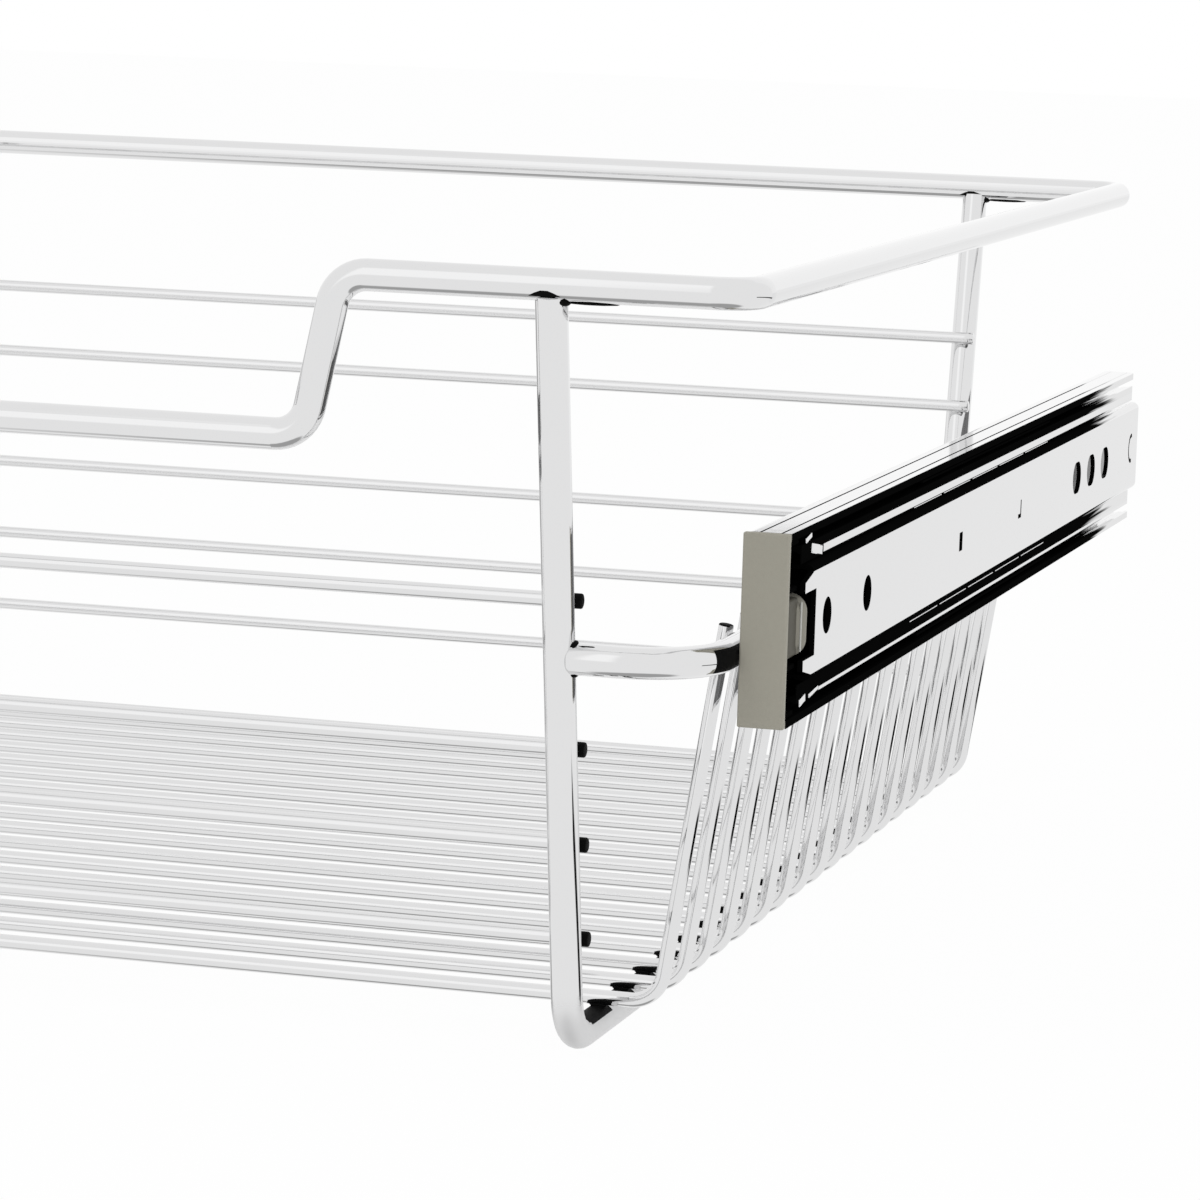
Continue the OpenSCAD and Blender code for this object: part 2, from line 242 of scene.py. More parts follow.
@dataclass(frozen=True)
class GrainedSkin:
    """Plastic or rubber with a fine spark-eroded grain, or a weld's dull crust in near-black painted shade.
    """

    name: str
    color: tuple[float, float, float]
    roughness: float
    grain: float
    mottle: float
    specular: float = 0.5
    grain_scale: float = 4500.0
    grain_depth: float = 0.0001
    mottle_scale: float = 900.0
    darkest_spot: float = 0.7

    def make(self) -> bpy.types.Material:
        """Builds the material.

        Returns:
            The finished material.
        """
        material, shader = start_material(self.name)
        place = shader.node("TexCoord").outputs["Object"]
        spots = shader.ramp(shader.noise(place, self.mottle_scale, 4), NOISE_SPAN, (self.darkest_spot, 1.0))
        tint = shader.node("MixRGB", {"Fac": self.mottle, "Color1": (*self.color, 1), "Color2": spots},
                           blend_type="MULTIPLY")
        normal = shader.bump(shader.noise(place, self.grain_scale, 2), self.grain, self.grain_depth)
        base = shader.node("BsdfPrincipled", {
            "Base Color": tint.outputs[0], "Roughness": self.roughness,
            "Specular IOR Level": self.specular, "Normal": normal})
        shader.node("OutputMaterial", {"Surface": base.outputs[0]})
        return material


@dataclass(frozen=True)
class GreaseAndShadeTrack:
    """Sheet in near-black painted shade, given as running grease, which gives way in streaks to wiped plating
    towards the slides' rear.
    """

    name: str
    wiped_color: tuple[float, float, float]
    wipe_from: float
    wipe_to: float
    wiped_roughness: float = 0.06
    grease_and_shade_color: tuple[float, float, float] = (0.003, 0.003, 0.003)
    grease_and_shade_roughness: tuple[float, float] = (0.3, 0.5)
    smear_scale: float = 700.0
    streak_scale: float = 900.0
    streak_squeeze: float = 0.02
    streak_reach: float = 15.0

    def make(self) -> bpy.types.Material:
        """Builds the material.

        Returns:
            The finished material.
        """
        material, shader = start_material(self.name)
        place = shader.node("TexCoord").outputs["Object"]
        smears = shader.ramp(shader.noise(place, self.smear_scale, 3), NOISE_SPAN, self.grease_and_shade_roughness)
        grease_and_shade = shader.node("BsdfPrincipled", {
            "Base Color": (*self.grease_and_shade_color, 1), "Roughness": smears, "Specular IOR Level": 0.0})
        wiped = shader.node("BsdfPrincipled", {
            "Base Color": (*self.wiped_color, 1), "Metallic": 1, "Roughness": self.wiped_roughness})
        # Streaks run along Y, so the noise is stretched that way
        stretched = shader.node("Mapping", {"Scale": (1.0, self.streak_squeeze, 1.0), "Vector": place})
        streaks = shader.ramp(shader.noise(stretched.outputs[0], self.streak_scale, 2), NOISE_SPAN,
                              (-self.streak_reach * MM, self.streak_reach * MM))
        along = shader.math("ADD", shader.node("SeparateXYZ", {0: place}).outputs[1], streaks)
        share = shader.ramp(along, (self.wipe_from * MM, self.wipe_to * MM), (0, 1))
        mixed = shader.mix(share, grease_and_shade.outputs[0], wiped.outputs[0])
        shader.node("OutputMaterial", {"Surface": mixed})
        return material


class Finish(Enum):
    """Every finish on the basket and its slides."""

    ROD = BrightPlate("chromed_rod_finish", (0.75, 0.75, 0.753), 0.03, 0.02, 0.02, scuff=0.6)
    WIRE = BrightPlate("chromed_wire_finish", (0.74, 0.74, 0.743), 0.04, 0.02, 0.02, 140)
    SHEET = BrightPlate("plated_sheet_finish", (0.74, 0.74, 0.743), 0.05, 0.03, 0.01, 60)
    # Near black at the welds and round them: painted shade at the joints
    WELD = GrainedSkin("weld_painted_shade_finish", (0.005, 0.005, 0.005), 0.5, 0.5, 0.6, 0.02)
    # Painted shade, with grease, in the slides' tracks and insides; bare plating towards the rear
    TRACK = GreaseAndShadeTrack("track_grease_and_shade_finish", (0.7, 0.7, 0.703), 178, 206)
    # Painted shade on the webs: near black towards the front, darkened plating behind
    WEB = GreaseAndShadeTrack("web_grease_and_shade_finish", (0.15, 0.15, 0.152), -135, -110, 0.25)
    # Darkened plating on the channels' backs: painted shade
    BACK = BrightPlate("slide_back_painted_shade_finish", (0.2, 0.2, 0.202), 0.12, 0.1, 0.03)
    BALL = BrightPlate("ball_finish", (0.5, 0.5, 0.51), 0.03, 0.02, 0.01)
    CAP = GrainedSkin("front_cap_finish", (0.345, 0.33, 0.275), 0.62, 0.25, 0.08)
    BUMPER = GrainedSkin("bumper_finish", (0.28, 0.27, 0.23), 0.5, 0.15, 0.1, 0.05)
    # Darker core of the bumper: painted shade
    BUMPER_CORE_SHADE = GrainedSkin("bumper_core_painted_shade_finish", (0.1, 0.095, 0.078), 0.5, 0.2, 0.1, 0.05)
    # Light strip along the bumper's roll: a painted highlight
    BUMPER_HIGHLIGHT = GrainedSkin("bumper_painted_highlight_finish", (0.55, 0.55, 0.52), 0.3, 0.05, 0.05, 0.3)

    @cached_property
    def material(self) -> bpy.types.Material:
        """Material of the finish, built at its first use."""
        return self.value.make()


# ---- Making pieces ----


# Places of a piece's main finish and of its dark one among its finishes
BRIGHT, DARK = 0, 1
X, Y, Z = (Vector(axis) for axis in ((1, 0, 0), (0, 1, 0), (0, 0, 1)))


def add_object(name: str, data: bpy.types.ID) -> bpy.types.Object:
    """Adds an object to the scene.

    Args:
        name: its name.
        data: its mesh, camera or lamp.

    Returns:
        The object.
    """
    made = bpy.data.objects.new(name, data)
    bpy.context.scene.collection.objects.link(made)
    return made


@dataclass
class Piece:
    """One physical piece, from its bmesh in millimetres to an object that rides on a body."""

    name: str
    mesh: bmesh.types.BMesh
    finishes: tuple[Finish, ...]
    slot: str
    replaces: tuple[str, ...]
    body: str = "basket"
    sharp_angle: float = 40.0
    flat_area: float = 150.0
    flat_angle: float = 1.0
    merge_distance: float = 0.0005

    def _mark_edges(self) -> None:
        """Shades round stretches smooth, and keeps big flat faces flat up to their edges."""
        for face in self.mesh.faces:
            face.smooth = True
        for edge in self.mesh.edges:
            angle = math.degrees(edge.calc_face_angle(0))
            flat = max((face.calc_area() for face in edge.link_faces), default=0) > self.flat_area
            edge.smooth = angle < self.sharp_angle and not (flat and angle > self.flat_angle)

    def place(self) -> None:
        """Makes the object, dresses it and hangs it on its body."""
        bmesh.ops.remove_doubles(self.mesh, verts=self.mesh.verts, dist=self.merge_distance)
        bmesh.ops.recalc_face_normals(self.mesh, faces=self.mesh.faces)
        self._mark_edges()
        bmesh.ops.scale(self.mesh, vec=(MM, MM, MM), verts=self.mesh.verts)
        data = bpy.data.meshes.new(self.name)
        self.mesh.to_mesh(data)
        self.mesh.free()
        for finish in self.finishes:
            data.materials.append(finish.material)
        made = add_object(self.name, data)
        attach(made, self.body)
        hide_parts(*self.replaces)
        LOG.info("%s: %d faces, on %s", self.name, len(data.polygons), self.body)


def mark_new(mesh: bmesh.types.BMesh, known: set[bmesh.types.BMFace], finish: int) -> None:
    """Gives a finish to the faces that were added since a set of known faces was taken.

    Args:
        mesh: the bmesh that they were added to.
        known: the faces that were there before.
        finish: place of the finish among the piece's finishes.
    """
    for face in mesh.faces:
        if face not in known:
            face.material_index = finish


def split(mesh: bmesh.types.BMesh, at: Vector, out: Vector, faces: list[bmesh.types.BMFace] | None = None,
          clear: bool = False) -> list[bmesh.types.BMEdge]:
    """Splits faces along a plane.

    Args:
        mesh: the bmesh that they are in.
        at: a point of the plane.
        out: direction square to the plane.
        faces: the faces to split, or None for all of them.
        clear: whether what lies beyond the plane is removed.

    Returns:
        The edges that lie in the plane.
    """
    if faces is None:
        geom = mesh.faces[:] + mesh.edges[:] + mesh.verts[:]
    else:
        geom = faces + list(dict.fromkeys(part for face in faces for part in (*face.edges, *face.verts)))
    cut = bmesh.ops.bisect_plane(mesh, geom=geom, plane_co=at, plane_no=out, clear_outer=clear)
    return [part for part in cut["geom_cut"] if isinstance(part, bmesh.types.BMEdge)]


def cut_off(mesh: bmesh.types.BMesh, at: Vector, out: Vector,
            faces: list[bmesh.types.BMFace] | None = None) -> None:
    """Cuts off what lies beyond a plane, and closes the cut with dark faces.

    Args:
        mesh: the bmesh to cut.
        at: a point of the plane.
        out: direction from what stays to what goes.
        faces: the faces to cut, or None for all of them.
    """
    rim = split(mesh, at, out, faces, clear=True)
    if rim:
        for face in bmesh.ops.holes_fill(mesh, edges=rim, sides=0)["faces"]:
            face.material_index = DARK


def add_block(mesh: bmesh.types.BMesh, at: Vector, size: tuple[float, float, float], bevel: float,
              segments: int, tilt: float = 0.0) -> None:
    """Adds a block with rounded edges.

    Args:
        mesh: the bmesh that it is added to.
        at: its middle.
        size: its sizes along X, Y and Z.
        bevel: size of the rounding.
        segments: faces across the rounding.
        tilt: its turn about X, in degrees.
    """
    turn = Matrix.Rotation(math.radians(tilt), 4, "X")
    made = bmesh.ops.create_cube(mesh, size=1,
                                 matrix=Matrix.Translation(at) @ turn @ Matrix.Diagonal((*size, 1)))
    edges = list({e for v in made["verts"] for e in v.link_edges})
    bmesh.ops.bevel(mesh, geom=edges, offset=bevel, segments=segments, profile=0.5,
                    affect="EDGES", material=-1)


class BarBender:
    """A round bar that grows from one end as it is fed and bent."""

    # Turn between two rings of a bend, in degrees, and the fewest rings that a bend has
    RING_TURN = 7.5
    FEWEST_RINGS = 4

    def __init__(self, mesh: bmesh.types.BMesh, start: Vector, way: Vector, radius: float,
                 sides: int) -> None:
        """Starts the bar as one ring.

        Args:
            mesh: the bmesh that the bar is added to.
            start: centre of the bar's first end.
            way: direction in which the bar leaves it.
            radius: radius of the bar.
            sides: number of edges round the bar.
        """
        self.mesh = mesh
        self.at = start.copy()
        self.way = way.normalized()
        turn = Vector((0, 0, 1)).rotation_difference(self.way).to_matrix().to_4x4()
        ring = bmesh.ops.create_circle(mesh, segments=sides, radius=radius,
                                       matrix=Matrix.Translation(start) @ turn)
        self.tip = ring["verts"]
        self.tail = list(self.tip)

    def _ring_edges(self, verts: list[bmesh.types.BMVert]) -> list[bmesh.types.BMEdge]:
        """Edges that join the verts of one ring."""
        known = set(verts)
        return list({edge for vert in verts for edge in vert.link_edges if edge.other_vert(vert) in known})

    def feed(self, length: float) -> None:
        """Adds a straight run.

        Args:
            length: length of the run.
        """
        grown = bmesh.ops.extrude_edge_only(self.mesh, edges=self._ring_edges(self.tip))
        self.tip = [part for part in grown["geom"] if isinstance(part, bmesh.types.BMVert)]
        bmesh.ops.translate(self.mesh, vec=self.way * length, verts=self.tip)
        self.at += self.way * length

    def bend(self, towards: Vector, radius: float, angle: float, steps: int) -> None:
        """Adds a bend.

        Args:
            towards: direction to the inside of the bend, square to the bar.
            radius: radius of the bend at the bar's centre.
            angle: angle of the bend, in radians.
            steps: number of rings in the bend.
        """
        centre = self.at + towards * radius
        axis = self.way.cross(towards)
        ring = self.tip + self._ring_edges(self.tip)
        spun = bmesh.ops.spin(self.mesh, geom=ring, cent=centre, axis=axis, angle=angle, steps=steps)
        self.tip = [part for part in spun["geom_last"] if isinstance(part, bmesh.types.BMVert)]
        turn = Matrix.Rotation(angle, 3, axis)
        self.at = centre + turn @ (self.at - centre)
        self.way = turn @ self.way

    def close_ends(self, bevel: float) -> None:
        """Caps both ends and rounds their edges.

        Args:
            bevel: size of the rounding.
        """
        for ring in (self.tail, self.tip):
            edges = self._ring_edges(ring)
            bmesh.ops.contextual_create(self.mesh, geom=edges)
            bmesh.ops.bevel(self.mesh, geom=edges, offset=bevel, segments=2, profile=0.5,
                            affect="EDGES", material=-1)

    @classmethod
    def along(cls, mesh: bmesh.types.BMesh, path: list[Vector], bends: list[float], radius: float,
              sides: int, closed: bool = False, bevel: float = 0.0) -> None:
        """Bends a whole bar along a path.

        Args:
            mesh: the bmesh that the bar is added to.
            path: the corners that the bar's centre line would have without its bends. A closed path
                starts on a straight run and doesn't repeat its first point.
            bends: bend radius of each corner after the first point, except that of an open end.
            radius: radius of the bar.
            sides: number of edges round the bar.
            closed: whether the bar's end meets its start.
            bevel: rounding of an open bar's two ends.
        """
        points = path + [path[0]] if closed else path
        ways = [(b - a).normalized() for a, b in zip(points, points[1:])]
        bar = cls(mesh, points[0], ways[0], radius, sides)
        used = 0.0
        for index, way in enumerate(ways):
            length = (points[index + 1] - points[index]).length - used
            used = 0.0
            if index < len(ways) - 1:
                angle = way.angle(ways[index + 1])
                used = bends[index] * math.tan(angle / 2)
            bar.feed(length - used)
            if index < len(ways) - 1:
                towards = (ways[index + 1] - way * way.dot(ways[index + 1])).normalized()
                rings = max(cls.FEWEST_RINGS, round(math.degrees(angle) / cls.RING_TURN))
                bar.bend(towards, bends[index], angle, rings)
        if not closed:
            bar.close_ends(bevel)


def add_weld_spot(mesh: bmesh.types.BMesh, at: Vector, along: Vector, out: Vector,
                  size: tuple[float, float, float]) -> None:
    """Adds the small squeezed-out lump of a resistance weld.

    Args:
        mesh: the bmesh that it is added to.
        at: middle of the weld.
        along: direction of its longest size.
        out: direction through the two bars.
        size: its half sizes along, across and out.
    """
    across = out.cross(along).normalized()
    turn = Matrix((along.normalized(), across, out.normalized())).transposed().to_4x4()
    scale = Matrix.Diagonal((*size, 1))
    bmesh.ops.create_icosphere(mesh, subdivisions=2, radius=1,
                               matrix=Matrix.Translation(at) @ turn @ scale)


def add_crown_weld(mesh: bmesh.types.BMesh, at: Vector, size: tuple[float, float, float]) -> None:
    """Adds the upper half of a squashed ball: the weld between a post's flat top and the rim.

    Args:
        mesh: the bmesh that it is added to.
        at: middle of the post's top.
        size: its half sizes along X, Y and Z.
    """
    made = bmesh.ops.create_icosphere(mesh, subdivisions=3, radius=1,
                                      matrix=Matrix.Translation(at) @ Matrix.Diagonal((*size, 1)))
    known = set(made["verts"])
    cut_off(mesh, at, -Z, [face for face in mesh.faces if all(v in known for v in face.verts)])


# ---- The basket ----


@dataclass
class Basket:
    """Bent rods and wires of the basket, in millimetres in the CAD model's frame."""

    rod_radius: float = 3.75
    wire_radius: float = 1.8
    weld_gap: float = 0.03
    rim_front: float = -240.775
    rim_rear: float = 219.525
    rim_side: float = 300.9
    rim_height: float = 183.7
    rim_bend: float = 8.5
    dip_low_x: float = 197.2
    dip_depth: float = 37.3
    dip_lean: float = 11.4
    dip_bend: float = 8.5
    frame_x: float = 254.9
    post_lean: float = 10.06
    post_drop: float = 2.5
    post_bevel: float = 0.15
    frame_bend: float = 14.0
    side_rod_x: float = 288.32
    side_rod_height: float = 97.2
    side_bend: float = 20.0
    side_bevel: float = 0.9
    butt_share: float = 0.6
    back_wire_heights: tuple[float, ...] = (137.7, 116.9, 81.4, 58.55, 35.7)
    front_wire_heights: tuple[float, ...] = (110.1, 74.6, 51.5, 28.4)
    wire_overhang: float = 4.2
    wire_bevel: float = 0.4
    floor_wire_count: int = 18
    floor_wire_pitch: float = 20.0
    floor_wire_start: float = -183.475
    floor_lean: float = 8.3
    floor_bend: float = 8.0
    leg_overhang: float = 4.3
    rod_sides: int = 40
    wire_sides: int = 24
    # Half sizes of the welds: on a post's top, at its outer edge and along the rim beside it, where
    # the side rod butts against a post, and of the wires on the rods and on the frame rods' tops
    crown_weld: tuple[float, float, float] = (5.8, 3.74, 5.0)
    crown_shift: float = 0.7
    edge_weld: tuple[float, float, float] = (1.1, 2.4, 1.0)
    edge_weld_out: float = 3.6
    edge_weld_drop: float = 1.2
    rim_weld: tuple[float, float, float] = (7.0, 1.5, 0.45)
    rim_weld_out: float = 9.5
    butt_weld: tuple[float, float, float] = (1.0, 1.9, 0.9)
    butt_weld_off: float = 3.4
    wire_weld: tuple[float, float, float] = (1.9, 1.3, 0.7)
    foot_weld: tuple[float, float, float] = (2.2, 1.5, 0.8)
    # Painted shade, near black in the weld finish, by the welds: on a frame rod ahead of the first floor
    # wire, of the others and behind each, and how far round the rod; on a side rod from this turn in its
    # bends, and the share of its radius above and below its middle; on the wires' ends
    painted_shade_first: float = 17.0
    painted_shade_ahead: float = 12.0
    painted_shade_behind: float = 2.2
    painted_shade_half_turn: float = 50.0
    painted_shade_from_turn: float = 26.0
    painted_shade_share: float = 0.72
    painted_shade_stub_from: float = 1.2
    painted_shade_tip: float = 0.45

    @property
    def weld_pitch(self) -> float:
        """Centre distance of a wire welded to a rod."""
        return self.rod_radius + self.wire_radius + self.weld_gap

    @property
    def floor_height(self) -> float:
        """Height of the floor wires' centre lines."""
        return self.rod_radius + self.weld_pitch

    def floor_wire_y(self, index: int) -> float:
        """Place of a floor wire along Y, by its number from 1 at the front."""
        return self.floor_wire_start + (index - 1) * self.floor_wire_pitch

    def post_y(self, end: End, height: float) -> float:
        """Place of a post's centre line along Y.

        Args:
            end: the basket's end.
            height: height above the lowest point.

        Returns:
            The Y value.
        """
        slope = math.tan(math.radians(self.post_lean)) * (self.rim_height - height)
        return self.rim_front + slope if end is End.FRONT else self.rim_rear - slope

    def rim(self) -> Piece:
        """Closed rim rod with its dipped front bar.

        Returns:
            The piece.
        """
        z, low = self.rim_height, self.rim_height - self.dip_depth
        high_x = self.dip_low_x + self.dip_depth * math.tan(math.radians(self.dip_lean))
        path = [Vector(p) for p in (
            (0, self.rim_rear, z), (self.rim_side, self.rim_rear, z), (self.rim_side, self.rim_front, z),
            (high_x, self.rim_front, z), (self.dip_low_x, self.rim_front, low),
            (-self.dip_low_x, self.rim_front, low), (-high_x, self.rim_front, z),
            (-self.rim_side, self.rim_front, z), (-self.rim_side, self.rim_rear, z))]
        bends = [self.rim_bend] * 2 + [self.dip_bend] * 4 + [self.rim_bend] * 2
        mesh = bmesh.new()
        BarBender.along(mesh, path, bends, self.rod_radius, self.rod_sides, closed=True)
        return Piece("chromed_rim_rod", mesh, (Finish.ROD,), "chromed_rod", ("rim_rod",))

    def frame_rod(self, side: Side) -> Piece:
        """U of rod with a leaning post at each end.

        Args:
            side: the side that it stands on.

        Returns:
            The piece.
        """
        x = side.value * self.frame_x
        foot, top = self.rod_radius, self.rim_height - self.post_drop
        path = [Vector((x, self.post_y(end, z), z)) for end, z in (
            (End.FRONT, top), (End.FRONT, foot), (End.REAR, foot), (End.REAR, top))]
        mesh = bmesh.new()
        BarBender.along(mesh, path, [self.frame_bend] * 2, self.rod_radius, self.rod_sides,
                        bevel=self.post_bevel)
        self._burn_crossings(mesh)
        # The welds take the weld finish: painted shade at the joints
        known = set(mesh.faces)
        for end in End:
            y = self.post_y(end, self.rim_height)
            add_crown_weld(mesh, Vector((x - side.value * self.crown_shift, y, top)), self.crown_weld)
            for out, z, size in ((self.edge_weld_out, top - self.edge_weld_drop, self.edge_weld),
                                 (self.rim_weld_out, self.rim_height - self.rod_radius, self.rim_weld)):
                add_weld_spot(mesh, Vector((x + side.value * out, y, z)), X, Z, size)
        mark_new(mesh, known, DARK)
        return Piece(f"chromed_frame_rod_{side.label}", mesh, (Finish.ROD, Finish.WELD), "chromed_rod",
                     (f"frame_rod_{side.label}",))

    def _burn_crossings(self, mesh: bmesh.types.BMesh) -> None:
        """Paints shade, in the weld finish, on top of a frame rod just ahead of each floor wire.

        Args:
            mesh: the frame rod.
        """
        spans = [(self.floor_wire_y(i + 1) - (self.painted_shade_ahead if i else self.painted_shade_first),
                  self.floor_wire_y(i + 1) + self.painted_shade_behind) for i in range(self.floor_wire_count)]
        top = 2 * self.rod_radius + TOUCH
        for cut in (place for span in spans for place in span):
            run = [f for f in mesh.faces if max(v.co.z for v in f.verts) < top
                   and min(v.co.y for v in f.verts) < cut < max(v.co.y for v in f.verts)]
            split(mesh, Y * cut, Y, run)
        mesh.normal_update()
        least_up = math.cos(math.radians(self.painted_shade_half_turn))
        for face in mesh.faces:
            centre = face.calc_center_median()
            shaded = any(start < centre.y < end for start, end in spans)
            if shaded and centre.z < top and face.normal.z > least_up:
                face.material_index = DARK

    def side_rod(self, side: Side) -> Piece:
        """Rod that leaves both posts and runs along the back of the slide.

        Args:
            side: the side that it stands on.

        Returns:
            The piece.
        """
        z, inner = self.side_rod_height, side.value * (self.frame_x + self.rod_radius * self.butt_share)
        outer = side.value * self.side_rod_x
        front, rear = self.post_y(End.FRONT, z), self.post_y(End.REAR, z)
        path = [Vector(p) for p in ((inner, front, z), (outer, front, z), (outer, rear, z), (inner, rear, z))]
        mesh = bmesh.new()
        BarBender.along(mesh, path, [self.side_bend] * 2, self.rod_radius, self.rod_sides,
                        bevel=self.side_bevel)
        # The line of painted shade faces the channel that it is welded to, between one plane in each bend
        turn, half = math.radians(self.painted_shade_from_turn), self.painted_shade_share * self.rod_radius
        limits = [(Vector((outer - side.value * self.side_bend, y + way * self.side_bend, z)),
                   Vector((side.value * math.sin(turn), way * math.cos(turn), 0)))
                  for y, way in ((front, 1), (rear, -1))]
        for at, way in [(Z * (z + half), Z), (Z * (z - half), Z)] + limits:
            split(mesh, at, way)
        mesh.normal_update()
        least_out = 0.3
        for face in mesh.faces:
            centre = face.calc_center_median()
            within = all((centre - at).dot(way) > 0 for at, way in limits)
            if within and face.normal.x * side.value > least_out and abs(centre.z - z) < half:
                face.material_index = DARK
        # The welds take the weld finish: painted shade at the joints
        known = set(mesh.faces)
        for end in End:
            foot, head = (Vector((0, self.post_y(end, height), height)) for height in (0, z))
            down = (foot - head).normalized()
            joint = Vector((side.value * (self.frame_x + self.rod_radius), self.post_y(end, z), z))
            for way in (1, -1):
                add_weld_spot(mesh, joint + down * (way * self.butt_weld_off), down, X * side.value,
                              self.butt_weld)
        mark_new(mesh, known, DARK)
        return Piece(f"chromed_side_rod_{side.label}", mesh, (Finish.ROD, Finish.WELD), "chromed_rod",
                     (f"side_rod_{side.label}",))

    def straight_wire(self, end: End, index: int, height: float) -> Piece:
        """Thin wire welded across the inner side of two posts.

        Args:
            end: the basket's end.
            index: the wire's number, from 1 at the top.
            height: the wire's height.

        Returns:
            The piece.
        """
        lean = math.radians(self.post_lean)
        y = self.post_y(end, height) - end.value * self.weld_pitch / math.cos(lean)
        reach = self.frame_x + self.wire_overhang
        out = Vector((0, -end.value * math.cos(lean), math.sin(lean)))
        mesh = bmesh.new()
        BarBender.along(mesh, [Vector((-reach, y, height)), Vector((reach, y, height))], [],
                        self.wire_radius, self.wire_sides, bevel=self.wire_bevel)
        # Painted shade on both stubs of a front wire, and on the left one of a back wire short of its tip
        stub, tip, past = self.frame_x + self.painted_shade_stub_from, reach - self.wire_bevel, reach + TOUCH
        shaded = ((-past, -stub), (stub, past)) if end is End.FRONT else ((-tip, -stub),)
        for side in Side:
            split(mesh, X * (side.value * stub), X)
        for face in mesh.faces:
            x = face.calc_center_median().x
            face.material_index = DARK if any(low < x < high for low, high in shaded) else BRIGHT
        # The welds take the weld finish: painted shade at the joints
        known = set(mesh.faces)
        for side in Side:
            at = Vector((side.value * self.frame_x, y, height)) - out * self.wire_radius
            add_weld_spot(mesh, at, X, out, self.wire_weld)
        mark_new(mesh, known, DARK)
        name = f"{'front' if end is End.FRONT else 'back'}_wire_{index}"
        return Piece("chromed_" + name, mesh, (Finish.WIRE, Finish.WELD), "chromed_wire", (name,))

    def floor_wire(self, index: int) -> Piece:
        """Thin wire bent to a shallow U: a floor run and a leaning leg at each side.

        Args:
            index: the wire's number, from 1 at the front.

        Returns:
            The piece.
        """
        lean = math.radians(self.floor_lean)
        y = self.floor_wire_y(index)
        at_side = self.side_rod_x - self.weld_pitch / math.cos(lean)
        foot_x = at_side - math.tan(lean) * (self.side_rod_height - self.floor_height)
        top_x = at_side + math.tan(lean) * self.leg_overhang
        top = self.side_rod_height + self.leg_overhang
        path = [Vector(p) for p in ((-top_x, y, top), (-foot_x, y, self.floor_height),
                                    (foot_x, y, self.floor_height), (top_x, y, top))]
        mesh = bmesh.new()
        BarBender.along(mesh, path, [self.floor_bend] * 2, self.wire_radius, self.wire_sides,
                        bevel=self.wire_bevel)
        # Painted shade on the tips of the legs
        for face in mesh.faces:
            face.material_index = DARK if face.calc_center_median().z > top - self.painted_shade_tip else BRIGHT
        # The welds take the weld finish: painted shade at the joints
        known = set(mesh.faces)
        for side in Side:
            foot = Vector((side.value * self.frame_x, y, self.floor_height - self.wire_radius))
            add_weld_spot(mesh, foot, X, Z, self.foot_weld)
            out = Vector((-side.value * math.cos(lean), 0, math.sin(lean)))
            rod = Vector((side.value * self.side_rod_x, y, self.side_rod_height))
            add_weld_spot(mesh, rod + out * self.rod_radius, out.cross(Y), out, self.wire_weld)
        mark_new(mesh, known, DARK)
        return Piece(f"chromed_floor_wire_{index:02d}", mesh, (Finish.WIRE, Finish.WELD), "chromed_wire",
                     (f"floor_wire_{index:02d}",))

    def pieces(self) -> list[Piece]:
        """Makes every rod and wire of the basket.

        Returns:
            The pieces.
        """
        made = [self.rim()]
        for side in Side:
            made += [self.frame_rod(side), self.side_rod(side)]
        for end, heights in ((End.REAR, self.back_wire_heights), (End.FRONT, self.front_wire_heights)):
            made += [self.straight_wire(end, i + 1, z) for i, z in enumerate(heights)]
        return made + [self.floor_wire(i + 1) for i in range(self.floor_wire_count)]


# ---- The slides ----


# Corner of a section's outline: distance from the slide's back, height from its centre line, and the
# place of the finish on the face from this corner to the next
Corner = tuple[float, float, int]


@dataclass(frozen=True)
class StopTab:
    """A tab formed on an intermediate member's flange end.

    The flange is 1 for the upper one and -1 for the lower, and up is measured from its outer face.
    """

    place: float
    flange: int
    up: float
    tilt: float
    length: float
    height: float


